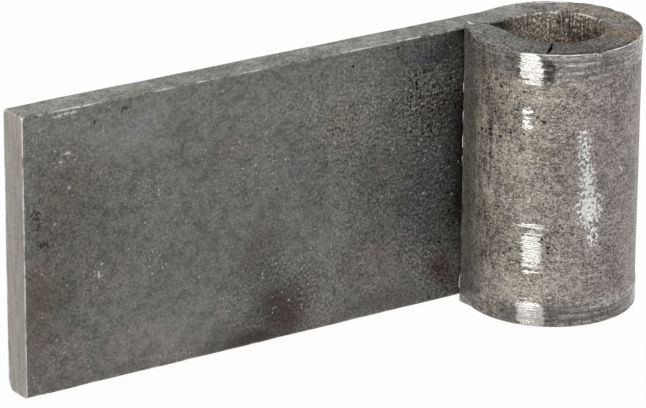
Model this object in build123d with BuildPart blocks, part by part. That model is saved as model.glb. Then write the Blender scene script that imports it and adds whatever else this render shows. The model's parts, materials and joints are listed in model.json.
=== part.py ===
from build123d import *
import os
from math import cos, radians, sin

# Weld-on barrel hinge leaf: one length of hot-rolled flat steel bar whose end is rolled into an eye.
#
# Frame: +Z runs along the eye's axis and across the bar's width, with the origin on that axis at
# mid-width. The strap runs towards -X. Its back face, at the largest Y, is tangent to the eye's
# outside, and its front face is tangent to the bore. All lengths are in millimetres.

overall_length = 140.0  # from the sheared end to the eye's far side

# The flat bar
bar_width = 60.0
bar_thickness = 8.0
back_corner_radius = 1.6  # the bar's rolled corners along its back
front_corner_radius = 0.7  # and along its front, which becomes the bore
sheared_edge_break = 0.4

# The rolled eye
pin_diameter = 20.0
pin_play = 0.5  # what the bore is larger than the pin, across its diameter
wrap_angle = 283.0  # degrees that the bar turns through before its tail runs straight
run_in = 8.0  # stretch of strap over which the bar's section changes to the eye's
bore_edge_rise = 0.2  # bending squeezes the bar wider at the bore
eye_corner_radius = 0.6  # the back corners, rubbed sharper by the rolling tool

# The tail, which is the bar's other sheared end, pressed against the strap's front face
tail_gap = 0.15
tail_tip_thickness = 6.4
tail_flare = 1.3  # how far the tail's outer corners stand out past the bar's edges
tail_outer_corner_radius = 1.0
tail_inner_corner_radius = 1.5

# The crack across the eye's upper rim, open at the bore and closed at the outside
crack_angle = -130.5  # degrees about the eye's axis, from +X
crack_width = 0.5
crack_length = 6.9
crack_drift = 0.9  # how far it strays sideways along its length
crack_bow = 0.35
crack_depth = 2.0

# Sizes that follow from those above
bore_radius = (pin_diameter + pin_play) / 2
strap_length = overall_length - bore_radius - bar_thickness  # from the eye's axis to the sheared end
half_width = bar_width / 2
wrap_end = 90 - wrap_angle  # where the wrap ends, as an angle about the axis from +X
tail_end_y = bore_radius - tail_gap


def around_eye(angle):
    """Plane across the bar at this angle about the eye: local x leaves the axis, local y is +Z."""
    outward = Vector(cos(radians(angle)), sin(radians(angle)), 0)
    return Plane(origin=outward * bore_radius, x_dir=outward, z_dir=outward.cross(Vector(0, 0, 1)))


def bar_section(plane, thickness, outer_radius, bore_side_rise=0.0, outer_side_rise=0.0):
    """Section across the bar: its front is at local x = 0, its back at the thickness, its corners are round."""
    inner_half = half_width + bore_side_rise
    outer_half = half_width + outer_side_rise
    with BuildSketch(plane) as section:
        with BuildLine():
            Polyline(
                (0, -inner_half),
                (thickness, -outer_half),
                (thickness, outer_half),
                (0, inner_half),
                close=True,
            )
        make_face()
        fillet(section.vertices().group_by(Axis.X)[-1], outer_radius)
        fillet(section.vertices().group_by(Axis.X)[0], front_corner_radius)
    return section.sketch


# Sections along the bar, from the strap to the tail's tip
strap_plane = around_eye(90)
tail_root = around_eye(wrap_end)
strap_section = bar_section(strap_plane.offset(-run_in), bar_thickness, back_corner_radius)
eye_start = bar_section(strap_plane, bar_thickness, eye_corner_radius, bore_edge_rise)
eye_end = bar_section(tail_root, bar_thickness, eye_corner_radius, bore_edge_rise)

# The tail's outer face leaves the eye on its tangent, and that places its tip
tail_heading = tail_root.z_dir
root_outer = tail_root.origin + tail_root.x_dir * bar_thickness
tip_outer = root_outer + tail_heading * ((tail_end_y - root_outer.Y) / tail_heading.Y)
tip_inner = tip_outer + Vector(tail_tip_thickness, 0, 0)
tip_plane = Plane(origin=tip_inner, x_dir=(-1, 0, 0), z_dir=(0, 1, 0))
tip_section = bar_section(tip_plane, tail_tip_thickness, eye_corner_radius, 0, tail_flare)

with BuildPart() as tail:
    loft([eye_end, tip_section], ruled=True)
    with BuildSketch(Plane.XY.offset(-bar_width)) as tail_plan:
        with BuildLine():
            Polyline(
                (tail_root.origin.X, tail_root.origin.Y),
                (root_outer.X, root_outer.Y),
                (tip_outer.X, tip_outer.Y),
                (tip_inner.X, tip_inner.Y),
                close=True,
            )
        make_face()
        tip_corners = tail_plan.vertices().group_by(Axis.Y)[-1].sort_by(Axis.X)
        fillet(tip_corners[0], tail_outer_corner_radius)
        fillet(tip_corners[-1], tail_inner_corner_radius)
    extrude(amount=2 * bar_width, mode=Mode.INTERSECT)

with BuildPart() as hinge_leaf:
    # strap, the run-in where its section changes, and the eye
    extrude(strap_section, amount=strap_length - run_in, dir=(-1, 0, 0))
    loft([strap_section, eye_start], ruled=True)
    revolve(eye_start, axis=Axis((0, 0, 0), (0, 0, -1)), revolution_arc=wrap_angle)
    add(tail.part)

    # sheared end of the strap
    end_face = hinge_leaf.faces().sort_by(Axis.X)[0]
    fillet(end_face.edges(), sheared_edge_break)

    # crack in the upper rim
    rim_top = half_width + bore_edge_rise
    crack_start = around_eye(crack_angle).origin + Vector(0, 0, rim_top)
    crack_outward = around_eye(crack_angle).x_dir
    with BuildSketch(Plane(origin=crack_start, x_dir=crack_outward, z_dir=(0, 0, 1))):
        with BuildLine() as crack_outline:
            mouth = Line((-crack_width, crack_width / 2), (-crack_width, -crack_width / 2))
            tip = (crack_length, -crack_drift)
            SagittaArc(mouth @ 1, tip, crack_bow)
            SagittaArc(tip, mouth @ 0, -crack_bow)
        make_face()
    extrude(amount=-crack_depth, mode=Mode.SUBTRACT)

hinge_leaf.part.label = "hinge_leaf"
os.makedirs("parts", exist_ok=True)
export_step(hinge_leaf.part, "parts/hinge_leaf.step")
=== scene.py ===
"""Weld-on barrel hinge leaf: a hot-rolled flat steel bar whose end is rolled into an eye.

The whole leaf is one closed skin. A section across the bar is carried along the bar's middle line, from the
sheared end of the strap, round the eye, to the tail that presses on the strap. Wear marks have their places
in the bar's own measure, as if it were laid out flat: s along the bar, z across its width and x through its
thickness, with x = 0 on the strap's front, which becomes the bore. Lengths are in millimetres until the mesh
is written.
"""

import json

import bmesh
import bpy
import numpy as np
from mathutils import Matrix, Vector


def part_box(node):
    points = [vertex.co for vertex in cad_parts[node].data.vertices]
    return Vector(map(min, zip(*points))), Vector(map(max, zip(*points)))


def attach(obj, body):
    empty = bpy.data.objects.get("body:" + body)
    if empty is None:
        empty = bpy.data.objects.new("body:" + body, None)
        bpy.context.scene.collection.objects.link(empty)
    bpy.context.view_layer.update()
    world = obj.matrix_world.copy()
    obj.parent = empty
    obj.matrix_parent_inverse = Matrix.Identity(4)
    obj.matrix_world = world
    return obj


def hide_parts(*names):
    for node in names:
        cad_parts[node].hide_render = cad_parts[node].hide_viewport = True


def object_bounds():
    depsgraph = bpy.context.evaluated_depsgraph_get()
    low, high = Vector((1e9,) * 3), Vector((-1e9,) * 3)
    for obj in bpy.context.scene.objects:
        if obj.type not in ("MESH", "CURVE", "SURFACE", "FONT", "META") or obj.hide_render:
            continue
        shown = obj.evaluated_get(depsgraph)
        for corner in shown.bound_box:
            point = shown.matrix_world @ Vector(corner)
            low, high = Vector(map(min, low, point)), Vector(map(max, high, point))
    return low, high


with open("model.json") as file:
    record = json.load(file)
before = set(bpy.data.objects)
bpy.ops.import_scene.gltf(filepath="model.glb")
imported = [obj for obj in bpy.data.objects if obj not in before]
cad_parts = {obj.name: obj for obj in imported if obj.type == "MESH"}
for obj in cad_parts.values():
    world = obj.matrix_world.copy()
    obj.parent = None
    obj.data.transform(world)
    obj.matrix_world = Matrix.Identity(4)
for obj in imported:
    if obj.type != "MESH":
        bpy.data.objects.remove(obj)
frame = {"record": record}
cad_low, cad_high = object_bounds()

MM = 0.001
NODE = "hinge_leaf"
SLOT = "mill_scale_steel"
mounts = {mount["name"]: mount for mount in frame["record"]["mounts"]}
leaf_low, leaf_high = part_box(NODE)

# The bar and its eye
BORE_RADIUS = mounts["pin_bore"]["dims"]["r_mm"]
THICKNESS = mounts["weld_face"]["pos_m"][1] / MM - BORE_RADIUS
STRAP_LENGTH = -leaf_low.x / MM
HALF_WIDTH = 30.0
BORE_EDGE_RISE = 0.2
WRAP = np.radians(283)
MIDDLE_RADIUS = BORE_RADIUS + THICKNESS / 2
EYE_END = STRAP_LENGTH + MIDDLE_RADIUS * WRAP
RUN_IN = 8.0
FRONT_CORNER = 0.7
BACK_CORNER = 1.6
EYE_CORNER = 0.5
SOFTER_FRONT = 0.7  # how much larger the strap's lower corners are
SOFTER_BACK = 0.45

# The tail, and how the two sheared ends are rounded
TAIL_GAP = 0.15
TAIL_LENGTH = 7.0
TAIL_TIP_THICKNESS = 6.4
TAIL_FLARE = leaf_high.z / MM - HALF_WIDTH
TAIL_RISE = 7.5  # about how far its inner side reaches
TIP_OUTER_ROUND = 0.6
TIP_INNER_ROUND = 1.5
END_FRONT_ROUND = 0.25
END_BACK_ROUND = 0.8
BAR_END = EYE_END + TAIL_LENGTH
UNDER_TAIL = STRAP_LENGTH - 13.0  # under the tail's tip, where the bore's finish takes over

# Form left by rolling and handling
PLAY = 0.08  # how far the skin keeps inside the CAD's faces, so that its waves stay within them
WAIST = 0.15
BAND_WIDTH = 5.3
BURR_HEIGHT = 0.24
CHIP_DEPTH = 0.5

# Spacing of the skin's columns
STRAP_SPACING = 1.15
EYE_SPACING = 0.42


def eye_place(angle):
    """Length along the bar at this angle about the eye's axis, in degrees from +X."""
    return STRAP_LENGTH + MIDDLE_RADIUS * np.radians(90 - angle)


# The crack in the upper rim, from the bore towards the outside
CRACK_PLACE = eye_place(-129)
CRACK_LENGTH = 7.6
CRACK_WIDTH = 0.8
CRACK_DEPTH = 2.0
CRACK_DRIFT = 1.0


# ---------------------------------------------------------------- helpers for shapes


def smooth(low, high, value):
    """An S-shaped step from 0 at low to 1 at high."""
    t = np.clip((value - low) / (high - low), 0, 1)
    return t * t * (3 - 2 * t)


def bell(value, middle, reach):
    """A bell from 0 to 1: exp(-d^2), where d is the distance from its middle in reaches."""
    return np.exp(-(((value - middle) / reach) ** 2))


def lattice_noise(points, size, seed, count=24):
    """Soft random values from -1 to 1: a lattice of random numbers, with cubic weights between them."""
    lattice = np.random.default_rng(seed).uniform(-1, 1, (count, count, count))
    cell = np.floor(points / size).astype(int)
    t = points / size - cell
    t = t * t * (3 - 2 * t)
    total = np.zeros(points.shape[:-1])
    for corner in np.ndindex(2, 2, 2):
        weight = np.prod(np.where(np.array(corner) == 1, t, 1 - t), axis=-1)
        i = (cell + np.array(corner)) % count
        total += weight * lattice[i[..., 0], i[..., 1], i[..., 2]]
    return total


def marks(s, z, places, sharpness=2):
    """Soft marks, the strongest of them at each point.

    A mark is given as (s, z, reach along, reach across, strength). It is a bell at sharpness 2, and its edge
    gets clearer and squarer as the sharpness grows.
    """
    total = np.zeros(np.broadcast(s, z).shape)
    for place_s, place_z, along, across, strength in places:
        distance = abs((s - place_s) / along) ** sharpness + abs((z - place_z) / across) ** sharpness
        total = np.maximum(total, strength * np.exp(-distance))
    return total


def spread(length, spacing, focus):
    """Positions from 0 to length. The spacing is a function of place, and shrinks near each focus.

    A focus is given as (place, closest spacing, reach).
    """
    fine = np.linspace(0, length, 20001)
    step = spacing(fine)
    for place, closest, reach in focus:
        step = np.minimum(step, closest + (step - closest) * smooth(0, reach, abs(fine - place)))
    share = np.diff(fine) * (0.5 / step[1:] + 0.5 / step[:-1])
    count = np.concatenate([[0], np.cumsum(share)])
    return np.interp(np.linspace(0, count[-1], int(np.ceil(count[-1])) + 1), count, fine)


def drawn_in(radius, distance):
    """How far a side draws in by a circle's arc at this distance from an end."""
    left = np.clip(radius - distance, 0, radius)
    return radius - np.sqrt(radius**2 - left**2)


# ---------------------------------------------------------------- marks of rolling and wear

# Burrs along the seam, each as (z, reach, strength)
SEAM_BURRS = (
    (16.9, 1.4, 1.0),
    (13.1, 1.0, 0.5),
    (10.6, 1.1, 0.9),
    (5.0, 1.8, 1.0),
    (1.1, 0.9, 0.8),
    (-15.0, 0.8, 0.5),
    (-26.4, 1.9, 1.0),
)

# Marks on the bar, each as (s, z, reach along, reach across, strength)
CHIPPED_PLACES = (
    (eye_place(-45), -30, 6, 3, 1.0),
    (eye_place(-112), -30, 1.5, 3, 0.7),
    (eye_place(-35), 30, 4, 3, 0.7),
    (eye_place(20), 30, 8, 3, 0.5),
    (eye_place(60), -30, 10, 3, 0.5),
)
WORN_BORE_EDGE = ((eye_place(15), 30, 14, 9, 1.0),)
FAR_GLINT = ((eye_place(57), 30, 2.5, 9, 1.0),)
# Rubbed bare patches on the eye; their light colour is also a painted highlight where the strip light falls
RUBBED_HIGHLIGHT_PATCHES = (
    (eye_place(-142.3), 27.0, 1.9, 3.6, 1.25),
    (eye_place(-144), 15.6, 0.9, 2.6, 0.7),
    (eye_place(-139.5), -12.6, 1.7, 3.4, 1.25),
    (eye_place(-139.5), -16.8, 1.6, 1.6, 0.62),
    (eye_place(-141.5), -7.8, 2.6, 0.6, 0.7),
    (eye_place(-139.3), -27.2, 2.1, 2.9, 1.6),
)
SCUFFED_STREAK = (
    (eye_place(-107), 12.0, 0.8, 2.2, 0.8),
    (eye_place(-105), 8, 1.2, 4.0, 0.9),
    (eye_place(-102.5), 2, 1.5, 4.5, 1.0),
    (eye_place(-100.5), -4, 2.2, 4.0, 1.1),
    (eye_place(-98.5), -10, 1.2, 3.5, 0.7),
    (eye_place(-75), 3, 1.2, 1.0, 0.5),
)
# Dull patches on the bands, painted dark as dark reflections
DULL_DARK_REFLECTION_PATCHES = (
    (eye_place(-130.0), 26.2, 1.1, 3.2, 1.0),
    (eye_place(-155), 27.4, 1.6, 3.0, 0.6),
    (eye_place(-153), -28.0, 2.6, 2.4, 0.3),
    (eye_place(-128), -27.0, 1.0, 2.4, 0.5),
    (eye_place(-108), 26.5, 2.5, 2.0, 0.25),
    (eye_place(-88), 26.0, 2.0, 2.5, 0.35),
)
SHADED_PLACES = (
    (3, 6, 5, 9, 0.30),
    (13, 4, 15, 15, 0.34),
    (8, -8, 9, 6, 0.34),
    (6, -20, 12, 7, 0.14),
    (89, 14, 9, 7, 0.48),
    (84, 3, 11, 10, 0.38),
    (70, 4, 6, 10, 0.24),
    (95, -4, 7, 10, 0.60),
    (48, -28, 7, 5, 0.70),
    (57, -28, 9, 5, 0.66),
    (61, -24, 4, 4, 0.55),
    (59, -21, 8, 8, 0.56),
    (56, -14, 6, 6, 0.46),
    (82, -10, 7, 6, 0.30),
    (99, 13, 8, 7, 0.70),
    (101, 28, 8, 4, 0.88),
)
SHADED_RIM = ((eye_place(-120), 30, 16, 15, 0.70),)
SHADED_LIP = ((eye_place(-100), 30, 9, 9, 1.0),)
SHADED_BACK = (
    (EYE_END + 2, 0, 6, 60, 0.50),
    (eye_place(-163), 27, 4, 4, 0.34),
    (eye_place(-80), 0, 5, 60, 0.20),
    (eye_place(-93), 3, 2.2, 8, 0.42),
    (eye_place(-113), 5, 4, 9, 0.28),
    (eye_place(-138), -5, 4, 12, 0.18),
    (eye_place(-112), -28, 18, 2.5, 0.46),
    (eye_place(-153), -28, 4, 2.4, 0.60),
    (eye_place(-90), -28, 12, 2.5, 0.35),
)
SPECKED_PLACES = (
    (9, 20, 3, 3, 1.0),
    (9, 28, 3, 1.5, 1.0),
    (9, 15, 3, 2, 0.9),
    (26, 9, 4, 5, 0.8),
    (30, -4, 3, 6, 0.7),
    (17, -7, 2, 2, 0.7),
    (56, 10, 8, 5, 0.4),
    (72, -12, 5, 4, 0.5),
    (64, -20, 10, 6, 0.5),
    (97, 12, 12, 14, 0.6),
    (60, -18, 8, 8, 0.5),
    (eye_place(-132), 14, 3, 4, 1.0),
    (eye_place(-140), 5, 8, 12, 0.5),
    (eye_place(-100), -12, 8, 10, 0.4),
)
HEAT_TINTS = (
    (56, -29, 12, 5, 1.0),
    (60, -22, 7, 7, 1.0),
    (58, -10, 6, 6, 0.45),
    (103, -24, 4, 5, 0.8),
    (86, -28, 20, 2, 0.5),
    (2, -10, 3, 9, 0.5),
    (102, 14, 5, 8, 0.5),
    (eye_place(-48), 30, 5, 8, 1.3),
    (eye_place(20), 30, 8, 8, 0.6),
    (eye_place(-95), 30, 5, 8, 0.4),
)
BROWN_TINTS = (
    (10, 14, 11, 10, 0.9),
    (6, 4, 8, 11, 1.0),
    (3, -10, 7, 14, 1.2),
    (74, 15, 5, 5, 0.7),
    (92, 16, 12, 6, 0.45),
    (84, 0, 7, 8, 0.7),
    (48, 15, 4, 4, 0.6),
)
ROSE_TINTS = (
    (18, -8, 8, 9, 0.7),
    (8, -24, 10, 6, 0.9),
    (32, -23, 14, 6, 0.8),
    (50, -27, 60, 5, 0.8),
    (84, -18, 16, 10, 0.9),
    (78, 20, 8, 5, 0.4),
    (52, 15, 7, 4, 0.4),
)
COOL_TINTS = (
    (25, 26, 12, 4, 0.5),
    (97, -3, 6, 13, 0.75),
    (97, 27, 6, 3, 1.0),
    (45, 28, 26, 2, 0.5),
    (65, 8, 5, 4, 0.5),
)
PALER_PLACES = (
    (8, 27, 12, 4, 0.7),
    (26, 24, 9, 5, 1.4),
    (80, 19, 9, 7, 0.7),
    (37, -22, 12, 5, 1.1),
    (26, -14, 9, 5, 0.3),
    (70, -9, 6, 6, 0.4),
    (88, -23, 18, 6, 0.6),
    (eye_place(-104), 20, 2.5, 3.0, 0.9),
    (eye_place(-150), -20, 9, 3, 0.9),
    (eye_place(-158), 20, 2.5, 3, 0.9),
)
PLAIN_GRAIN = 0.64  # how coarse the scale is where none of these places adds to it
GRAINY_PLACES = (
    (101, 16, 11, 13, 3.6),
    (101, -8, 9, 30, 2.2),
    (61, -21, 9, 10, 1.2),
    (87, 0, 14, 16, 1.1),
    (80, 14, 14, 12, 1.0),
    (82, -20, 20, 9, 0.7),
    (8, 6, 14, 22, 0.35),
)
STREAKED_PLACES = (
    (eye_place(-176), 4, 5, 30, 1.1),
    (eye_place(-155), 18, 3, 8, 0.6),
)
PITTED_PATCHES = (
    (94, 17, 5, 6, 1.1),
    (101, 13, 5, 6, 1.3),
    (103, -5, 3, 22, 0.6),
    (eye_place(-168), 15, 4, 14, 0.35),
    (eye_place(-151), 18, 2.5, 5, 0.5),
    (eye_place(-130), 15, 2.5, 3, 0.4),
    (eye_place(-150), -15, 2, 3, 0.5),
    (eye_place(-126), -12, 4, 4, 0.25),
)
# Single pits and bright nicks, each as (s, z, reach along, reach across)
PITS = (
    (2.8, 8.9, 0.9, 0.9),
    (3.4, 6.6, 0.5, 1.1),
    (4.6, 2.4, 1.3, 0.7),
    (23.3, 27.4, 0.9, 0.5),
    (eye_place(-147.6), 8.8, 0.45, 0.5),
    (eye_place(-151), -16.5, 0.9, 0.6),
)
NICKS = (
    (17.1, -6.8, 0.22, 0.7),
    (17.8, -4.4, 0.3, 0.2),
    (10.3, 20.6, 0.5, 0.35),
    (8.6, 19.2, 0.4, 0.3),
    (10.4, 13.4, 0.3, 0.3),
    (8.2, 28.6, 1.0, 0.35),
    (11.2, 28.9, 1.2, 0.3),
)


# ---------------------------------------------------------------- the leaf's form


def middle_line(s):
    """Inner and outer points of the bar at each length s, in plan.

    The strap is straight and the eye is an arc about the origin. The tail's outer line is the arc's tangent.
    Its inner line is a cubic curve that leaves the bore smoothly and meets the strap squarely.
    """
    turned = np.clip((s - STRAP_LENGTH) / MIDDLE_RADIUS, 0, WRAP)
    outward = np.stack([np.sin(turned), np.cos(turned)], axis=-1)
    before = np.minimum(s - STRAP_LENGTH, 0)[:, None] * np.array([1.0, 0.0])
    inner = outward * BORE_RADIUS + before
    outer = outward * (BORE_RADIUS + THICKNESS) + before

    heading = np.array([np.cos(WRAP), -np.sin(WRAP)])
    root_inner, root_outer = inner[-1], outer[-1]
    tip_outer = root_outer + heading * (BORE_RADIUS - TAIL_GAP - root_outer[1]) / heading[1]
    tip_inner = tip_outer + np.array([TAIL_TIP_THICKNESS, 0])
    rise = tip_inner[1] - root_inner[1]
    v = np.clip((s - EYE_END) / TAIL_LENGTH, 0, 1)[:, None]
    curve = (
        (2 * v**3 - 3 * v**2 + 1) * root_inner
        + (v**3 - 2 * v**2 + v) * rise * heading
        + (3 * v**2 - 2 * v**3) * tip_inner
        + (v**3 - v**2) * rise * np.array([0.0, 1.0])
    )
    inner = np.where(v > 0, curve, inner)
    outer = np.where(v > 0, root_outer + (tip_outer - root_outer) * v, outer)
    return inner, outer


def bar_places():
    """Lengths along the bar of the grid's columns, and how far the section is open at each.

    The columns are closer round the eye, and closest at both sheared ends and at the crack. Past each end a
    few more columns shrink the section to its middle line, which closes the skin.
    """

    def spacing(s):
        return STRAP_SPACING + (EYE_SPACING - STRAP_SPACING) * smooth(STRAP_LENGTH - 12, STRAP_LENGTH - 2, s)

    closer = [(0, 0.07, 1.6), (BAR_END, 0.06, 1.6), (CRACK_PLACE, 0.05, 2.2)]
    body = spread(BAR_END, spacing, closer)
    opening = 1 - spread(1.0, lambda p: 0.2 + 0 * p, [(0, 0.03, 0.5)])
    s = np.concatenate([0 * opening, body, BAR_END + 0 * opening])
    opened = np.concatenate([opening[::-1], np.ones(len(body)), opening])
    return s[:, None], opened[:, None]


def section_places():
    """Places round half a section: shares of a wide face, turns round a corner, shares of a narrow face."""
    face = spread(1.0, lambda p: 0.027 + 0 * p, [(1.0, 0.006, 0.2)])
    turn = np.linspace(0, np.pi / 2, 9)[1:-1]
    rim = spread(1.0, lambda p: 0.09 + 0 * p, [(0, 0.03, 0.3), (1, 0.03, 0.3)])
    return face, turn, rim


def section_directions(face, turn, rim):
    """Round a whole section: x and z of the outward direction, the share across a wide face, and the top."""
    half_x = np.concatenate([-1 + 0 * face, -np.cos(turn), 0 * rim, np.sin(turn), 1 + 0 * face])
    half_z = np.concatenate([0 * face, np.sin(turn), 1 + 0 * rim, np.cos(turn), 0 * face])
    half_across = np.concatenate([face, 1 + 0 * turn, 1 + 0 * rim, 1 + 0 * turn, face[::-1]])
    normal_x = np.concatenate([half_x, half_x[-2:0:-1]])
    normal_z = np.concatenate([half_z, -half_z[-2:0:-1]])
    across = np.concatenate([half_across, -half_across[-2:0:-1]])
    top = np.concatenate([np.ones(len(half_across)), np.zeros(len(half_across) - 2)])
    return normal_x, normal_z, across, top


def half_section(thickness, front_half, back_half, front_radius, back_radius, places):
    """x and z of half a section, from the front's middle over both corners to the back's middle.

    Straight faces run between the corners, and each corner is a quarter of a circle.
    """
    face, turn, rim = places
    sine, cosine = np.sin(turn), np.cos(turn)
    x = [
        0 * thickness * face,
        front_radius * (1 - cosine),
        front_radius + (thickness - front_radius - back_radius) * rim,
        thickness - back_radius * (1 - sine),
        thickness + 0 * face,
    ]
    z = [
        (front_half - front_radius) * face,
        front_half - front_radius * (1 - sine),
        front_half + (back_half - front_half) * rim,
        back_half - back_radius * (1 - cosine),
        (back_half - back_radius) * face[::-1],
    ]
    return np.concatenate(x, axis=1), np.concatenate(z, axis=1)


def leaf_grid():
    """Points of the leaf's skin on a grid of columns along the bar and rows round its section."""
    length, opened = bar_places()
    places = section_places()
    normal_x, normal_z, across, top = section_directions(*places)
    inner, outer = middle_line(length[:, 0])
    thickness = np.linalg.norm(outer - inner, axis=1)[:, None]

    # half widths along the bar
    into_eye = smooth(STRAP_LENGTH - RUN_IN, STRAP_LENGTH, length)
    in_tail = np.clip((length - EYE_END) / TAIL_LENGTH, 0, 1)
    end_front = drawn_in(END_FRONT_ROUND, length)
    end_back = drawn_in(END_BACK_ROUND, length)
    front_half = HALF_WIDTH + BORE_EDGE_RISE * into_eye * (1 - in_tail) - end_front
    back_half = HALF_WIDTH + TAIL_FLARE * in_tail - end_front

    # the upper and the lower half of the section; the strap's lower corners are softer
    back_radius = BACK_CORNER + (EYE_CORNER - BACK_CORNER) * into_eye
    halves = []
    for softer in (0 * into_eye, 1 - into_eye):
        front_corner = FRONT_CORNER * (1 + SOFTER_FRONT * softer)
        back_corner = back_radius * (1 + SOFTER_BACK * softer)
        halves.append(half_section(thickness, front_half, back_half, front_corner, back_corner, places))
    (x_top, z_top), (x_low, z_low) = halves
    x = np.concatenate([x_top, x_low[:, -2:0:-1]], axis=1)
    z = np.concatenate([z_top, -z_low[:, -2:0:-1]], axis=1)

    # the ends draw the section in through its thickness, and the end columns close it
    from_tip = (BAR_END - length) * TAIL_RISE / TAIL_LENGTH
    low_x = end_front + drawn_in(TIP_INNER_ROUND, from_tip)
    high_x = thickness - end_back - drawn_in(TIP_OUTER_ROUND, from_tip)
    x = low_x + x / thickness * (high_x - low_x)
    middle_x = (low_x + high_x) / 2
    middle_z = across * (HALF_WIDTH - THICKNESS / 2)
    x = middle_x + (x - middle_x) * opened
    z = middle_z + (z - middle_z) * opened

    grid = {"s": length, "x": x, "z": z, "inner": inner, "outer": outer, "thickness": thickness}
    grid |= {"opened": opened, "normal_x": normal_x, "normal_z": normal_z, "top": top, "from_tip": from_tip}
    grid["half"] = front_half + (back_half - front_half) * x / thickness
    return grid


def facing(grid):
    """How squarely each row faces the bar's front, its back and its narrow sides, from 0 to 1."""
    front = np.clip(-grid["normal_x"], 0, 1) ** 2
    back = np.clip(grid["normal_x"], 0, 1) ** 2
    narrow = grid["normal_z"] ** 2
    return front, back, narrow


def cut_crack(grid):
    """Sinks the crack into the upper rim and the bore's edge, and blackens it with its lips.

    Columns near the crack slide along the bar to follow its line.
    """
    s, x, top = grid["s"], grid["x"], grid["top"]
    from_edge = grid["half"] - abs(grid["z"])
    depth_in = np.clip(x / CRACK_LENGTH, 0, 1)
    stretch = MIDDLE_RADIUS / (BORE_RADIUS + x)
    along = s - CRACK_PLACE
    near_rim = smooth(3.0, 0.5, from_edge) * top
    slide = CRACK_DRIFT * depth_in**1.8 * stretch * near_rim * bell(along, 0, 2.5)
    width = CRACK_WIDTH * (0.5 + depth_in) * (1 - depth_in**3) * stretch
    off_line = abs(along) / np.maximum(width / 2, 0.02)
    inside = smooth(1.0, 0.4, off_line) * (x < CRACK_LENGTH)
    blackened = smooth(1.5, 0.9, off_line) * (x < CRACK_LENGTH)
    sunk = CRACK_DEPTH * (1 - 0.5 * depth_in) * inside * np.clip(1 - from_edge / 4, 0, 1) * top
    return slide, sunk, blackened * near_rim


def chipped_edge(grid, flat):
    """Small chips along the eye's outer edges, from 0 to 1."""
    s, z, x = flat[..., 0], flat[..., 1], flat[..., 2]
    to_edge = np.maximum(grid["half"] - abs(z), grid["thickness"] - x)
    broken = smooth(-0.1, 0.4, lattice_noise(flat, 1.5, 6)) * smooth(-0.5, 0.3, lattice_noise(flat, 0.7, 7))
    return broken * marks(s, z, CHIPPED_PLACES) * bell(to_edge, 0, 0.9)


def seam_burrs(grid, flat):
    """Thin torn burrs that stand out of the seam where the tail was sheared, from 0 to 1."""
    back = facing(grid)[1]
    dashes = 0
    for place, reach, strength in SEAM_BURRS:
        dashes = dashes + strength * smooth(reach, reach * 0.7, abs(flat[..., 1] - place))
    torn = 0.75 + 0.25 * lattice_noise(flat, 0.8, 4)
    return dashes * torn * back * bell(grid["from_tip"], 0.4, 0.14)


def outward_normals(points):
    """Unit normals of a grid of points, turned away from each section's middle."""
    along_bar = np.gradient(points, axis=0)
    round_it = np.roll(points, -1, axis=1) - np.roll(points, 1, axis=1)
    normal = np.cross(along_bar, round_it)
    normal /= np.maximum(np.linalg.norm(normal, axis=-1, keepdims=True), 1e-9)
    outwards = points - points.mean(axis=1, keepdims=True)
    return normal * np.sign((outwards * normal).sum())


def leaf_points(grid):
    """Places the grid in space and moves it along its normals by the marks of rolling and shearing."""
    s, x, z = grid["s"], grid["x"], grid["z"]
    slide, sunk, crack = cut_crack(grid)
    share = (x / grid["thickness"])[..., None]
    moved = s + slide
    plan = 0
    for line, weight in ((grid["inner"], 1 - share), (grid["outer"], share)):
        plan = plan + weight * np.stack([np.interp(moved, s[:, 0], line[:, i]) for i in (0, 1)], axis=-1)
    points = np.concatenate([plan, (z - sunk)[..., None]], axis=-1)
    normal = outward_normals(points)

    # waves of rolling, the eye's waist between its bands, and chips
    flat = np.stack(np.broadcast_arrays(s, z, x), axis=-1)
    from_edge = grid["half"] - abs(z)
    back, narrow = facing(grid)[1:]
    wrapped = smooth(STRAP_LENGTH + 4, STRAP_LENGTH + 10, s)
    out = 0.03 * lattice_noise(flat, 9.0, 1) + 0.015 * lattice_noise(flat, 3.2, 2) - PLAY
    out = out + 0.05 * narrow * lattice_noise(flat, 5.0, 3)
    out = out - WAIST * back * wrapped * smooth(BAND_WIDTH - 0.7, BAND_WIDTH + 1.5, from_edge)
    chips = chipped_edge(grid, flat)
    out = out - CHIP_DEPTH * chips
    points = points + normal * (out * smooth(0, 0.3, grid["opened"]))[..., None]

    burrs = seam_burrs(grid, flat)
    outward = grid["outer"] - grid["inner"]
    outward = outward / np.linalg.norm(outward, axis=1, keepdims=True)
    points[..., :2] += BURR_HEIGHT * burrs[..., None] * outward[:, None, :]
    return points, flat, crack, burrs, chips


# ---------------------------------------------------------------- where each finish lies


def regions(s):
    """How far a length along the bar is in the eye, in the bore and beside the tail, from 0 to 1."""
    in_eye = smooth(STRAP_LENGTH - 1, STRAP_LENGTH + 4, s)
    in_bore = smooth(UNDER_TAIL - 1, UNDER_TAIL + 2, s)
    near_tail = smooth(eye_place(-146), eye_place(-153), s)
    return in_eye, in_bore, near_tail


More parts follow.
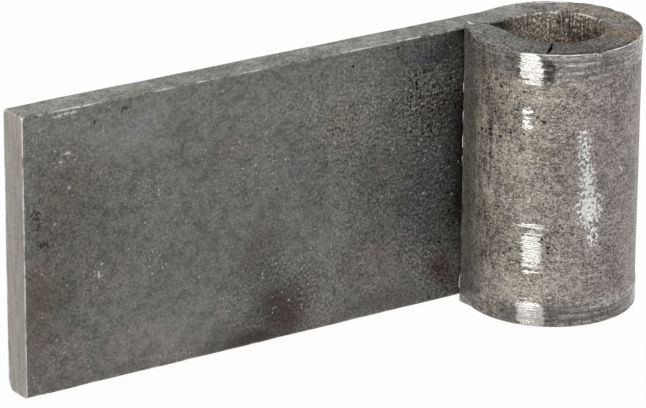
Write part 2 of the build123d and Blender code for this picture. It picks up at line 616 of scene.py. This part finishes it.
def edge_wear_and_glint(grid, s, z, x):
    """Where handling has worn the steel bright, at corners and the sheared end's edge, and two painted glints
    on the rim: highlights on the tail tip's top corner and on the rim's far outer edge.
    """
    front, _, narrow = facing(grid)
    in_eye, in_bore, near_tail = regions(s)
    corner = (2 * abs(grid["normal_x"] * grid["normal_z"])) ** 6
    back_side = (0.55 + 0.45 * in_eye) * (1 - 0.85 * near_tail)
    front_side = 0.64 - 0.44 * in_bore + 0.7 * marks(s, z, WORN_BORE_EDGE)
    side = np.where(grid["normal_x"] > 0, back_side, front_side)
    end_edge = np.where(grid["opened"] < 1, smooth(0.90, 0.98, grid["opened"]), bell(s, 0, 0.2)) * (s < 5)
    wear = np.maximum(corner * side * (grid["opened"] > 0.97), end_edge * (0.75 + 0.25 * front))
    # painted glints: highlights on the tail tip's top corner and on the rim's far outer edge
    tail_glint = bell(grid["from_tip"], 0.5, 0.55) * bell(x, 4.9, 0.8)
    far_glint = bell(x, 6.8, 0.3) * marks(s, z, FAR_GLINT)
    return np.maximum(wear, 2.2 * np.maximum(tail_glint, far_glint) * narrow * (z > 0))


def grime_and_shade(grid, s, z, x, soft_s, soft_z):
    """How much dirt, dull scale and painted shade darken each place, from 0 to 1. The shade is painted where
    the eye shades the strap beside the seam, in the bore under the tail's tip, on the eye's outside that
    faces the strap, and as a thin shadow line along the top rim's outer edge. It is heaviest beside the seam.
    """
    front, back, narrow = facing(grid)
    # painted shade, partly dirt: the eye shades the strap beside the seam, darkest at the contact
    seam_dirt_and_shade = 0.50 * smooth(82, 98, s) + 0.50 * smooth(98, 106, s)
    seam_dirt_and_shade = seam_dirt_and_shade * (1 - 0.75 * smooth(-10, -22, z))
    seam_dirt_and_shade = seam_dirt_and_shade * (1 - 0.3 * smooth(12, 20, z) * smooth(29, 25, z))
    on_strap = 0.16 * smooth(70, 80, s) + 0.84 * seam_dirt_and_shade
    on_strap = np.maximum(on_strap, marks(soft_s, soft_z, SHADED_PLACES))
    # painted shade in the bore, darkest under the tail's tip
    in_bore = 1 - smooth(3, 16.5, s - UNDER_TAIL)
    on_front = np.where(s > UNDER_TAIL, in_bore, on_strap)
    # SHADED_LIP is a painted shadow line along the top rim's outer edge
    on_rim = marks(s, z, SHADED_RIM) + 0.6 * bell(x, 7.2, 0.3) * marks(s, z, SHADED_LIP)
    return np.clip(front * on_front + narrow * on_rim + back * marks(s, z, SHADED_BACK), 0, 1)


def leaf_masks(grid, flat, crack, burrs, chips):
    """Where each finish lies, from 0 to 1 at every point. Soft places have borders moved about at random."""
    s, z, x = flat[..., 0], flat[..., 1], flat[..., 2]
    from_edge = grid["half"] - abs(z)
    front, back, narrow = facing(grid)
    soft_s, soft_z = (
        place + 3.0 * lattice_noise(flat, 9.0, seed) + 1.3 * lattice_noise(flat, 3.5, seed + 1)
        for place, seed in ((s, 11), (z, 13))
    )
    in_eye, in_bore, near_tail = regions(s)
    wrapped = smooth(STRAP_LENGTH + 4, STRAP_LENGTH + 10, s)
    in_band = wrapped * smooth(BAND_WIDTH + 0.7, BAND_WIDTH - 0.8, from_edge) * (1 - 0.7 * near_tail)
    outer = np.where(s < STRAP_LENGTH, front, back)
    return {
        "edge_wear_and_glint": np.maximum(edge_wear_and_glint(grid, s, z, x), chips),
        "burr": np.clip(burrs, 0, 1),
        "band": back * in_band,
        "eye": back * in_eye,
        "bore": front * in_bore,
        "bent": in_eye,
        "rim": narrow,
        "sheared": np.maximum(grid["opened"] < 0.999, smooth(0.2, 0.02, s)),
        "crack": crack,
        "rubbed_highlight": back * marks(s, z, RUBBED_HIGHLIGHT_PATCHES, 5),
        "scuffed": back * marks(s, z, SCUFFED_STREAK),
        "dulled_dark_reflection": back * marks(s, z, DULL_DARK_REFLECTION_PATCHES, 4),
        "heat_tint": marks(soft_s, soft_z, HEAT_TINTS),
        "brown_tint": marks(soft_s, soft_z, BROWN_TINTS),
        "rose_tint": marks(soft_s, soft_z, ROSE_TINTS),
        "cool_tint": marks(soft_s, soft_z, COOL_TINTS),
        "paler": marks(soft_s, soft_z, PALER_PLACES),
        "grainy": PLAIN_GRAIN + marks(soft_s, soft_z, GRAINY_PLACES),
        "streaked": back * marks(s, z, STREAKED_PLACES),
        "grime_and_shade": grime_and_shade(grid, s, z, x, soft_s, soft_z),
        "specked": outer * marks(s, z, SPECKED_PLACES),
        "pitting": outer * marks(s, z, PITTED_PATCHES),
    }


def add_leaf():
    """One mesh object: the grid's quads, joined round the section and closed at both ends."""
    grid = leaf_grid()
    points, flat, crack, burrs, chips = leaf_points(grid)
    masks = leaf_masks(grid, flat, crack, burrs, chips)
    columns, rows = points.shape[:2]
    index = np.arange(columns * rows).reshape(columns, rows)
    here, beside = index[:-1], index[1:]
    quads = np.stack([here, beside, np.roll(beside, -1, axis=1), np.roll(here, -1, axis=1)], axis=-1)
    mesh = bpy.data.meshes.new("rolled_leaf")
    mesh.from_pydata((points.reshape(-1, 3) * MM).tolist(), [], quads.reshape(-1, 4).tolist())
    bar = mesh.attributes.new("bar", "FLOAT_VECTOR", "POINT")
    bar.data.foreach_set("vector", (flat.reshape(-1) * MM).astype(np.float32))
    for name, values in masks.items():
        mask = mesh.attributes.new(name, "FLOAT", "POINT")
        mask.data.foreach_set("value", np.broadcast_to(values, (columns, rows)).astype(np.float32).ravel())
    work = bmesh.new()
    work.from_mesh(mesh)
    bmesh.ops.remove_doubles(work, verts=work.verts, dist=1e-7)
    bmesh.ops.recalc_face_normals(work, faces=work.faces)
    work.to_mesh(mesh)
    work.free()
    mesh.polygons.foreach_set("use_smooth", np.ones(len(mesh.polygons), dtype=bool))
    leaf = bpy.data.objects.new("rolled_leaf", mesh)
    bpy.context.scene.collection.objects.link(leaf)
    return leaf


# ---------------------------------------------------------------- the finish


class Finish:
    """Builds one material. A value may be a number, a colour or another node's output."""

    def __init__(self, name):
        self.material = bpy.data.materials.new(name)
        self.material.use_nodes = True
        self.tree = self.material.node_tree
        self.shader = next(n for n in self.tree.nodes if n.type == "BSDF_PRINCIPLED")
        self.masks = {}

    def feed(self, socket, value):
        if isinstance(value, bpy.types.NodeSocket):
            self.tree.links.new(value, socket)
        elif isinstance(value, tuple) and len(value) == 3 and socket.type == "RGBA":
            socket.default_value = (*value, 1.0)
        else:
            socket.default_value = value

    def node(self, kind, inputs, output=0, **settings):
        made = self.tree.nodes.new(kind)
        for name, value in settings.items():
            setattr(made, name, value)
        for name, value in inputs.items():
            self.feed(made.inputs[name], value)
        return made.outputs[output]

    def mask(self, name, output="Fac"):
        """The mesh's attribute of this name."""
        if name not in self.masks:
            self.masks[name] = self.node("ShaderNodeAttribute", {}, output, attribute_name=name)
        return self.masks[name]

    def math(self, operation, first, *others):
        for other in others:
            first = self.node("ShaderNodeMath", {0: first, 1: other}, operation=operation)
        return first

    def add(self, *values):
        return self.math("ADD", *values)

    def less(self, *values):
        return self.math("SUBTRACT", *values)

    def times(self, *values):
        return self.math("MULTIPLY", *values)

    def most(self, *values):
        return self.math("MAXIMUM", *values)

    def step(self, value, low, high, to_low=0.0, to_high=1.0):
        """An S-shaped step from to_low at low to to_high at high."""
        inputs = {"Value": value, "From Min": low, "From Max": high, "To Min": to_low, "To Max": to_high}
        return self.node("ShaderNodeMapRange", inputs, interpolation_type="SMOOTHSTEP")

    def swing(self, noise, size, reach):
        """A noise made to run from -size to size, where it passes from 0.5 - reach to 0.5 + reach."""
        return self.step(noise, 0.5 - reach, 0.5 + reach, -size, size)

    def blend(self, factor, a, b, blend_type="MIX"):
        """Colour a, turned into colour b by the factor."""
        inputs = {"Factor": factor, 6: a, 7: b}
        return self.node("ShaderNodeMix", inputs, 2, data_type="RGBA", blend_type=blend_type)

    def between(self, factor, a, b):
        """Number a, turned into number b by the factor."""
        return self.node("ShaderNodeMix", {"Factor": factor, 2: a, 3: b}, 0, data_type="FLOAT")

    def noise(self, where, size, detail=3.0, roughness=0.55, distortion=0.0):
        """Noise whose features are about this many millimetres across."""
        inputs = {
            "Vector": where,
            "Scale": 1 / (size * MM),
            "Detail": detail,
            "Roughness": roughness,
            "Distortion": distortion,
        }
        return self.node("ShaderNodeTexNoise", inputs, "Fac")

    def stretched(self, where, scale):
        return self.node("ShaderNodeMapping", {"Vector": where, "Scale": scale})

    def ragged(self, where, size, reach):
        """The places moved about at random, so that outlines get uneven. Both lengths are in millimetres."""
        inputs = {"Vector": where, "Scale": 1 / (size * MM), "Detail": 2.0}
        stray = self.node("ShaderNodeTexNoise", inputs, "Color")
        stray = self.node("ShaderNodeVectorMath", {0: stray, 1: (0.5, 0.5, 0.5)}, operation="SUBTRACT")
        stray = self.node("ShaderNodeVectorMath", {0: stray, "Scale": 4 * reach * MM}, operation="SCALE")
        return self.node("ShaderNodeVectorMath", {0: where, 1: stray}, operation="ADD")

    def shaded(self, colour, light):
        """The colour made lighter or darker by a factor."""
        grey = self.node("ShaderNodeCombineColor", {"Red": light, "Green": light, "Blue": light})
        return self.blend(1.0, colour, grey, "MULTIPLY")

    def nicks(self, where, grain, places):
        """Single marks with ragged outlines, each given as (s, z, reach along, reach across)."""
        total = 0.0
        for s, z, along, across in places:
            scale = (1 / (along * MM), 1 / (across * MM), 0.0)
            centre = (-s / along, -z / across, 0.0)
            moved = self.node("ShaderNodeMapping", {"Vector": where, "Location": centre, "Scale": scale})
            away = self.node("ShaderNodeVectorMath", {0: moved}, "Value", operation="LENGTH")
            outline = self.add(away, self.swing(grain, 0.8, 0.12))
            total = self.most(total, self.step(outline, 0.5, 1.2, 1.0, 0.0))
        return total

    def dots(self, where, spacing, radius, share, softness=0.5):
        """Small dots of random size: one in each cell, up to this radius in mm, in a share of the cells."""
        cell = self.tree.nodes.new("ShaderNodeTexVoronoi")
        cell.voronoi_dimensions = "2D"
        self.feed(cell.inputs["Vector"], where)
        self.feed(cell.inputs["Scale"], 1 / (spacing * MM))
        chance = self.node("ShaderNodeSeparateColor", {"Color": cell.outputs["Color"]}, "Red")
        size = self.node("ShaderNodeSeparateColor", {"Color": cell.outputs["Color"]}, "Green")
        reach = self.times(self.between(size, 0.4, 1.0), radius / spacing)
        near = self.step(cell.outputs["Distance"], reach, self.times(reach, softness))
        return self.times(near, self.math("LESS_THAN", chance, share))


class RolledSteel(Finish):
    """The leaf's steel, with what its finishes share: places on the bar, and noises named by their looks."""

    def __init__(self, name):
        super().__init__(name)
        self.bar = self.mask("bar", "Vector")
        self.along = self.node("ShaderNodeSeparateXYZ", {"Vector": self.bar}, "X")
        self.uneven = self.ragged(self.bar, 0.6, 0.22)
        self.cloud = self.noise(self.bar, 30, 2.0, 0.5)
        self.patch = self.noise(self.bar, 9, 5.0, 0.62, 0.4)
        self.mottle = self.noise(self.bar, 2.4, 4.0, 0.65)
        self.grain = self.noise(self.bar, 0.7, 4.0, 0.65)
        self.speck = self.noise(self.bar, 0.38, 2.0, 0.7)
        self.scratch = self.noise(self.stretched(self.bar, (0.03, 1.0, 1.0)), 0.32, 3.0, 0.7)
        self.long_scratch = self.noise(self.stretched(self.bar, (0.08, 1.0, 1.0)), 0.8, 3.0, 0.65)
        self.drag = self.noise(self.stretched(self.bar, (1.0, 0.06, 1.0)), 0.5, 3.0, 0.6)


# Colours of the scale
GREY_SCALE = (0.152, 0.151, 0.135)
GREEN_SCALE = (0.133, 0.135, 0.122)
BROWN_EYE_SCALE = (0.231, 0.205, 0.165)
PALE_EYE_SCALE = (0.258, 0.232, 0.198)
ROSE_EYE_SCALE = (0.229, 0.201, 0.175)
RIGHT_EYE_SCALE = (0.222, 0.195, 0.176)
BORE_BROWN = (0.285, 0.236, 0.180)
BORE_TAN = (0.400, 0.340, 0.270)
BORE_PALE_GRAIN = (0.900, 0.850, 0.760)
BORE_DARK_GRAIN = (0.065, 0.050, 0.036)
SCALE_TINTS = (
    ("brown_tint", (0.134, 0.116, 0.094)),
    ("rose_tint", (0.158, 0.138, 0.131)),
    ("cool_tint", (0.108, 0.120, 0.131)),
    ("heat_tint", (0.066, 0.044, 0.037)),
)

# Colours of the narrow faces and the sheared end
RIM_GREY = (0.196, 0.195, 0.176)
RIM_PALE = (0.268, 0.264, 0.239)
BENT_RIM_GREY = (0.132, 0.128, 0.114)
BENT_RIM_PALE = (0.236, 0.221, 0.203)
BENT_RIM_GREEN = (0.140, 0.141, 0.122)
RIM_HEAT = (0.185, 0.136, 0.100)
SHEARED_DARK = (0.245, 0.222, 0.193)
SHEARED_PALE = (0.385, 0.355, 0.313)

# Colours of bare, worn and pitted steel
# the bands' dark tone is a painted dark reflection
BAND_DARK_REFLECTION = (0.125, 0.118, 0.108)
BAND_BRIGHT = (0.34, 0.324, 0.303)
# painted dark reflection on the bands' dull patches
DULL_DARK_REFLECTION_STEEL = (0.038, 0.036, 0.033)
# rubbed bare steel, light as a painted highlight
RUBBED_HIGHLIGHT_STEEL = (0.57, 0.556, 0.515)
SCUFFED_STEEL = (0.80, 0.795, 0.77)
BARE_SPECK = (0.55, 0.545, 0.52)
# worn steel, also the colour of the painted glints
WORN_AND_GLINT_STEEL = (0.60, 0.585, 0.55)
TORN_STEEL = (0.95, 0.94, 0.92)
PIT_BLACK = (0.012, 0.011, 0.010)
CRACK_BLACK = (0.008, 0.007, 0.006)


def strap_scale(steel):
    """Grey-green scale, with brown, rose and blue-grey fields and a dark one where it was hottest."""
    colour = steel.blend(steel.step(steel.cloud, 0.42, 0.58), GREY_SCALE, GREEN_SCALE)
    drift = steel.add(steel.swing(steel.patch, 0.25, 0.2), steel.swing(steel.mottle, 0.12, 0.2))
    for name, tone in SCALE_TINTS:
        tint = steel.add(steel.mask(name), drift)
        colour = steel.blend(steel.step(tint, 0.05, 1.15), colour, tone)
    return colour


def eye_scale(steel):
    """Thinner, browner scale on the eye's outside, a little rosier on its right."""
    colour = steel.blend(steel.step(steel.patch, 0.38, 0.62), BROWN_EYE_SCALE, PALE_EYE_SCALE)
    colour = steel.blend(steel.step(steel.cloud, 0.45, 0.6), colour, ROSE_EYE_SCALE)
    on_right = steel.step(steel.along, eye_place(-100) * MM, eye_place(-140) * MM, 1.0, 0.0)
    return steel.blend(on_right, colour, RIGHT_EYE_SCALE)


def bore_scale(steel):
    """Coarse brown scale inside the bore. Its pale and dark grains form upright stripes past the run-in."""
    grains = steel.add(steel.times(steel.grain, 0.6), steel.times(steel.speck, 0.4))
    # fewer pale grains where the bore's shade is painted
    grains = steel.less(grains, steel.times(steel.mask("grime_and_shade"), 0.08))
    upright = steel.noise(steel.stretched(steel.bar, (1.0, 0.12, 1.0)), 0.6, 2.0, 0.6)
    past_run_in = steel.step(steel.along, (STRAP_LENGTH + 4) * MM, (STRAP_LENGTH + 11) * MM)
    stripes = steel.times(steel.swing(upright, 1.0, 0.2), steel.between(past_run_in, 0.02, 0.08))
    grains = steel.less(steel.add(grains, stripes), steel.times(past_run_in, 0.045))
    colour = steel.blend(steel.step(steel.patch, 0.4, 0.6), BORE_BROWN, BORE_TAN)
    colour = steel.blend(steel.step(grains, 0.49, 0.59), colour, BORE_PALE_GRAIN)
    return steel.blend(steel.step(grains, 0.36, 0.46, 1.0, 0.0), colour, BORE_DARK_GRAIN)


def banded(steel):
    """Where the eye's two rolled bands are bare. Scratches, mottle and grain break their borders."""
    band = steel.mask("band")
    broken = steel.add(steel.times(steel.long_scratch, 0.35), steel.times(steel.mottle, 0.3))
    broken = steel.add(broken, steel.times(steel.grain, 0.35))
    here = steel.step(steel.add(band, steel.swing(broken, 0.75, 0.12)), 0.35, 0.9)
    return steel.times(here, steel.step(band, 0.0, 0.4))


def scale_light(steel, band_here):
    """How light the scale is: its crystals, coarser and stronger near and on the eye, and soft patches."""
    eye, bore = steel.mask("eye"), steel.mask("bore")
    strength = steel.times(steel.mask("grainy"), steel.step(steel.patch, 0.35, 0.65, 0.8, 1.2))
    coarse = steel.between(bore, steel.between(eye, strength, 1.1), 0.6)
    coarse = steel.times(coarse, steel.step(steel.grain, 0.36, 0.70, -0.30, 0.58))
    fine = steel.between(bore, steel.between(eye, strength, 2.0), 0.7)
    fine = steel.times(fine, steel.step(steel.speck, 0.37, 0.71, -0.22, 0.52))
    light = steel.times(steel.add(coarse, fine), steel.between(band_here, 1.0, 0.7))

    # thin curls, where a distorted noise passes its middle
    curl = steel.less(steel.noise(steel.bar, 1.0, 2.0, 0.5, 1.5), 0.5)
    curl = steel.node("ShaderNodeMath", {0: curl}, operation="ABSOLUTE")
    curl = steel.times(steel.step(curl, 0.0, 0.05, 1.0, 0.0), eye, 0.60)

    patches = steel.add(steel.swing(steel.mottle, 0.25, 0.15), steel.swing(steel.patch, 0.10, 0.15))
    light = steel.add(light, patches, curl, steel.times(steel.mask("paler"), 0.32))
    upright = steel.noise(steel.stretched(steel.bar, (1.0, 0.15, 1.0)), 1.3, 3.0, 0.7)
    streaks = steel.times(steel.step(upright, 0.4, 0.6, -0.45, 0.75), steel.mask("streaked"), 0.75)
    return steel.most(steel.add(steel.less(light, streaks), 0.90), 0.25)


def pitted(steel):
    """Where pits lie: many small ones in places, and a few single ones."""
    pits = steel.dots(steel.uneven, 1.1, 0.42, steel.between(steel.mask("pitting"), 0.003, 0.6), 0.6)
    pits = steel.times(pits, steel.less(1.0, steel.mask("rim")))
    return steel.most(pits, steel.times(steel.nicks(steel.bar, steel.grain, PITS), 0.65))


def narrow_faces(steel):
    """Narrow faces, smooth from the rolls. They are darker and more patchy where the bar is bent."""
    bent = steel.mask("bent")
    colour = steel.blend(steel.step(steel.patch, 0.35, 0.65), RIM_GREY, RIM_PALE)
    bent_colour = steel.blend(steel.step(steel.patch, 0.35, 0.65), BENT_RIM_GREY, BENT_RIM_PALE)
    bent_colour = steel.blend(steel.step(steel.cloud, 0.42, 0.55), bent_colour, BENT_RIM_GREEN)
    colour = steel.blend(bent, colour, bent_colour)
    colour = steel.blend(steel.times(steel.mask("heat_tint"), 0.8), colour, RIM_HEAT)
    grains = steel.step(steel.grain, 0.34, 0.66, -0.4, 0.5)
    grains = steel.add(grains, steel.step(steel.speck, 0.34, 0.66, -0.3, 0.45))
    grains = steel.times(grains, steel.between(bent, 0.8, 2.0))
    patches = steel.times(steel.swing(steel.mottle, 0.26, 0.15), steel.between(bent, 1.0, 1.7))
    return steel.shaded(colour, steel.add(grains, patches, 0.92))


def sheared_end(steel):
    """The strap's sheared end, with upright drag marks."""
    dragged = steel.add(steel.times(steel.drag, 0.6), steel.times(steel.grain, 0.4))
    return steel.blend(steel.step(dragged, 0.38, 0.62), SHEARED_DARK, SHEARED_PALE)


def rubbed_bare_highlight(steel):
    """Where the eye is rubbed bare and a highlight is painted on its patches: patches broken by scratches,
    and thin scratches elsewhere.
    """
    rubbed_highlight = steel.mask("rubbed_highlight")
    streaks = steel.add(steel.times(steel.long_scratch, 0.6), steel.times(steel.grain, 0.4))
    here = steel.step(steel.add(rubbed_highlight, steel.swing(streaks, 0.7, 0.16)), 0.35, 0.6)
    thin_scratches = steel.times(steel.less(steel.mask("eye"), steel.mask("bore")), 0.25)
    return steel.times(here, steel.most(steel.step(rubbed_highlight, 0.02, 0.3), thin_scratches))


def scuffed_bright(steel):
    """Where the upright scuffed streak shows, in flecks."""
    scuffed = steel.mask("scuffed")
    flecks = steel.noise(steel.stretched(steel.bar, (1.0, 0.6, 1.0)), 0.5, 4.0, 0.7)
    here = steel.step(steel.add(scuffed, steel.swing(flecks, 0.7, 0.14)), 0.55, 0.8)
    return steel.times(here, steel.step(scuffed, 0.05, 0.4))


def bare_specks(steel):
    """Where bright specks of bare metal lie: on the scale, on the narrow faces, and a few single nicks."""
    rim = steel.mask("rim")
    specks = steel.dots(steel.uneven, 0.8, 0.25, steel.between(steel.mask("specked"), 0.04, 0.6))
    specks = steel.times(specks, steel.step(steel.noise(steel.bar, 2.0), 0.38, 0.62, 0.05, 1.0))
    specks = steel.times(specks, steel.less(1.0, steel.most(rim, steel.mask("sheared"), steel.mask("band"))))
    across_rim = steel.node("ShaderNodeMapping", {"Vector": steel.bar, "Rotation": (np.pi / 2, 0.0, 0.0)})
    rim_specks = steel.times(steel.dots(across_rim, 0.9, 0.26, 0.28), rim, 0.7)
    return steel.most(specks, rim_specks, steel.nicks(steel.bar, steel.grain, NICKS))


def worn_and_glinting_edges(steel):
    """Where edges are worn bright and where glints are painted, broken along their length."""
    breaks = steel.step(steel.patch, 0.38, 0.6, 0.35, 1.1)
    breaks = steel.times(breaks, steel.step(steel.mottle, 0.34, 0.56, 0.4, 1.0))
    return steel.step(steel.times(steel.mask("edge_wear_and_glint"), breaks), 0.2, 0.75)


def steel_roughness(steel, bare, worn_and_glint, dull_and_dark_reflection):
    """Bare steel is smoother than scale. Narrow faces and streaked places are the dullest."""
    roughness = steel.step(steel.mottle, 0.3, 0.7, 0.46, 0.66)
    roughness = steel.between(steel.mask("eye"), roughness, steel.step(steel.grain, 0.3, 0.7, 0.38, 0.6))
    roughness = steel.between(steel.mask("streaked"), roughness, 0.8)
    roughness = steel.between(steel.mask("rim"), roughness, 0.7)
    roughness = steel.between(steel.mask("sheared"), roughness, 0.5)
    roughness = steel.between(bare, roughness, 0.2)
    roughness = steel.between(worn_and_glint, roughness, 0.3)
    return steel.between(dull_and_dark_reflection, roughness, 0.7)


def steel_relief(steel, band_here, rubbed_highlight_here, pits):
    """Height of crystals, pits, scratches and drag marks, in millimetres."""
    sheared = steel.mask("sheared")
    relief = steel.times(steel.grain, steel.between(steel.mask("eye"), 0.05, 0.09))
    relief = steel.add(relief, steel.times(steel.speck, 0.02))
    relief = steel.less(relief, steel.times(pits, 0.12))
    smooth_parts = steel.most(band_here, steel.mask("rim"), sheared)
    relief = steel.times(relief, steel.between(smooth_parts, 1.0, 0.2))
    scratches = steel.times(steel.scratch, steel.most(band_here, rubbed_highlight_here), 0.08)
    return steel.add(relief, scratches, steel.times(steel.drag, sheared, 0.05))


def mill_scale_steel():
    """Hot-rolled steel: dark mottled scale on the wide faces, rubbed bright on edges by handling."""
    steel = RolledSteel(SLOT)
    band_here = banded(steel)
    dulled_dark_reflection_here = steel.times(steel.mask("dulled_dark_reflection"), steel.step(steel.long_scratch, 0.35, 0.65, 1.0, 0.85))
    rubbed_highlight_here = rubbed_bare_highlight(steel)
    scuffed_here = scuffed_bright(steel)
    grime_and_shade_here = steel.mask("grime_and_shade")
    pits = pitted(steel)
    worn_and_glint = worn_and_glinting_edges(steel)
    torn = steel.step(steel.mask("burr"), 0.2, 0.5)
    crack = steel.mask("crack")

    # scale, and the bands with their dull patches; the bands' dark tone and the dull patches are painted dark
    # reflections
    colour = steel.blend(steel.mask("eye"), strap_scale(steel), eye_scale(steel))
    colour = steel.blend(steel.mask("bore"), colour, bore_scale(steel))
    band_colour = steel.blend(steel.step(steel.long_scratch, 0.35, 0.65), BAND_DARK_REFLECTION, BAND_BRIGHT)
    colour = steel.blend(band_here, colour, band_colour)
    colour = steel.blend(dulled_dark_reflection_here, colour, DULL_DARK_REFLECTION_STEEL)
    colour = steel.shaded(colour, scale_light(steel, band_here))
    colour = steel.blend(steel.times(pits, 0.9), colour, PIT_BLACK)

    # narrow faces, the sheared end, rubbed places with their painted highlight, and grime with painted shade
    # over all
    colour = steel.blend(steel.mask("rim"), colour, narrow_faces(steel))
    colour = steel.blend(steel.mask("sheared"), colour, sheared_end(steel))
    colour = steel.blend(rubbed_highlight_here, colour, RUBBED_HIGHLIGHT_STEEL)
    colour = steel.blend(scuffed_here, colour, SCUFFED_STEEL)
    colour = steel.shaded(colour, steel.less(1.0, steel.times(grime_and_shade_here, 0.85)))

    # bare specks, worn edges with their painted glints, torn burrs and the crack
    colour = steel.blend(steel.times(bare_specks(steel), 0.8), colour, BARE_SPECK)
    colour = steel.blend(worn_and_glint, colour, WORN_AND_GLINT_STEEL)
    colour = steel.blend(torn, colour, TORN_STEEL)
    colour = steel.blend(crack, colour, CRACK_BLACK)

    # bare and very dark places reflect as metal, the scale mostly as a mineral skin
    bare = steel.most(steel.less(band_here, dulled_dark_reflection_here), rubbed_highlight_here, scuffed_here)
    dark_parts = steel.most(pits, crack, dulled_dark_reflection_here, steel.step(grime_and_shade_here, 0.86, 1.0, 0.0, 0.5))
    metallic = steel.between(steel.most(bare, worn_and_glint, dark_parts), 0.35, 1.0)
    metallic = steel.times(metallic, steel.less(1.0, torn))
    relief = steel_relief(steel, band_here, rubbed_highlight_here, pits)
    bump = steel.node("ShaderNodeBump", {"Height": relief, "Distance": MM, "Strength": 1.0})

    steel.feed(steel.shader.inputs["Base Color"], colour)
    steel.feed(steel.shader.inputs["Roughness"], steel_roughness(steel, bare, worn_and_glint, dulled_dark_reflection_here))
    steel.feed(steel.shader.inputs["Metallic"], metallic)
    steel.feed(steel.shader.inputs["Normal"], bump)
    return steel.material


# ---------------------------------------------------------------- floor, light and camera

FLOOR_RADIUS = 6.0
FLOOR_SIDES = 96
FLOOR_GLOW = 0.97
ROOM_LIGHT = 0.35
CAMERA_TURN = np.radians(33.65)
CAMERA_TILT = np.radians(20.40)
CAMERA_ROLL = np.radians(0.36)
CAMERA_DISTANCE = 921.3
CAMERA_SENSOR = 36.0
AIM_FROM_CENTRE = (-3.96, 3.09, 1.02)
LENS = 251.75


def add_floor():
    """A pale round floor under the leaf. It looks near white and keeps the leaf's soft shadow."""
    turn = np.linspace(0, 2 * np.pi, FLOOR_SIDES, endpoint=False)
    ring = np.stack([np.cos(turn), np.sin(turn), 0 * turn], axis=-1) * FLOOR_RADIUS
    ring[:, 2] = cad_low.z
    mesh = bpy.data.meshes.new("floor")
    mesh.from_pydata(ring.tolist(), [], [tuple(range(len(ring)))])
    floor = bpy.data.objects.new("floor", mesh)
    bpy.context.scene.collection.objects.link(floor)

    paper = Finish("pale_floor")
    links, nodes = paper.tree.links, paper.tree.nodes
    paper.feed(paper.shader.inputs["Base Color"], (0.9, 0.9, 0.9))
    paper.feed(paper.shader.inputs["Roughness"], 0.9)
    glow = nodes.new("ShaderNodeEmission")
    glow.inputs["Color"].default_value = (1, 1, 1, 1)
    seen = nodes.new("ShaderNodeLightPath")
    rays = [seen.outputs[f"Is {kind} Ray"] for kind in ("Camera", "Glossy", "Transmission")]
    mixed = nodes.new("ShaderNodeMixShader")
    paper.feed(mixed.inputs[0], paper.times(paper.most(*rays), FLOOR_GLOW))
    links.new(paper.shader.outputs[0], mixed.inputs[1])
    links.new(glow.outputs[0], mixed.inputs[2])
    links.new(mixed.outputs[0], nodes["Material Output"].inputs["Surface"])
    mesh.materials.append(paper.material)
    return floor


def add_room():
    """An even pale surround, white where it is seen directly or in the steel."""
    world = bpy.data.worlds.new("pale_room")
    bpy.context.scene.world = world
    world.use_nodes = True
    tree = world.node_tree
    background = tree.nodes["Background"]
    background.inputs["Color"].default_value = (1, 1, 1, 1)
    seen = tree.nodes.new("ShaderNodeLightPath")
    amount = seen.outputs["Is Camera Ray"]
    for kind in ("Glossy", "Transmission"):
        either = tree.nodes.new("ShaderNodeMath")
        either.operation = "MAXIMUM"
        tree.links.new(amount, either.inputs[0])
        tree.links.new(seen.outputs[f"Is {kind} Ray"], either.inputs[1])
        amount = either.outputs[0]
    strength = tree.nodes.new("ShaderNodeMapRange")
    strength.inputs["To Min"].default_value = ROOM_LIGHT
    strength.inputs["To Max"].default_value = 1.0
    tree.links.new(amount, strength.inputs["Value"])
    tree.links.new(strength.outputs[0], background.inputs["Strength"])


def add_softbox(name, turn, tilt, distance, width, height, radiance):
    """A rectangular lamp that faces the leaf's middle from this direction, in degrees from +X and up."""
    turn, tilt = np.radians(turn), np.radians(tilt)
    middle = (cad_low + cad_high) / 2
    away = Vector((np.cos(turn) * np.cos(tilt), np.sin(turn) * np.cos(tilt), np.sin(tilt)))
    lamp = bpy.data.lights.new(name, "AREA")
    lamp.shape = "RECTANGLE"
    lamp.size, lamp.size_y = width, height
    lamp.energy = radiance * np.pi * width * height
    holder = bpy.data.objects.new(name, lamp)
    holder.location = middle + away * distance
    holder.rotation_euler = away.to_track_quat("Z", "Y").to_euler()
    holder.visible_camera = False
    bpy.context.scene.collection.objects.link(holder)


def add_camera():
    """A long lens that looks down on the leaf from its front left."""
    camera = bpy.data.objects.new("camera", bpy.data.cameras.new("camera"))
    camera.data.lens = LENS
    camera.data.sensor_width = CAMERA_SENSOR
    camera.data.clip_start = 0.01
    camera.data.clip_end = 50.0
    ahead = Vector(
        (
            np.sin(CAMERA_TURN) * np.cos(CAMERA_TILT),
            np.cos(CAMERA_TURN) * np.cos(CAMERA_TILT),
            -np.sin(CAMERA_TILT),
        )
    )
    right = Vector((np.cos(CAMERA_TURN), -np.sin(CAMERA_TURN), 0))
    up = right.cross(ahead)
    right, up = (
        right * np.cos(CAMERA_ROLL) + up * np.sin(CAMERA_ROLL),
        up * np.cos(CAMERA_ROLL) - right * np.sin(CAMERA_ROLL),
    )
    aim = (cad_low + cad_high) / 2 + Vector(AIM_FROM_CENTRE) * MM
    turned = Matrix((right, up, -ahead)).transposed().to_4x4()
    camera.matrix_world = Matrix.Translation(aim - ahead * CAMERA_DISTANCE * MM) @ turned
    bpy.context.scene.collection.objects.link(camera)
    bpy.context.scene.camera = camera


leaf = add_leaf()
leaf.data.materials.append(mill_scale_steel())
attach(leaf, "root")
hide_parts(NODE)

add_floor()
add_room()
add_softbox("front_softbox", -85, 45, 1.3, 0.9, 0.7, 2.1)
add_softbox("side_softbox", -20, 25, 1.2, 0.5, 0.7, 2.4)
add_softbox("strip_light", -154, 7, 1.0, 0.5, 0.26, 9.0)
add_softbox("top_softbox", 90, 75, 1.3, 0.8, 0.8, 1.2)
add_camera()
bpy.context.scene.view_settings.view_transform = "Standard"
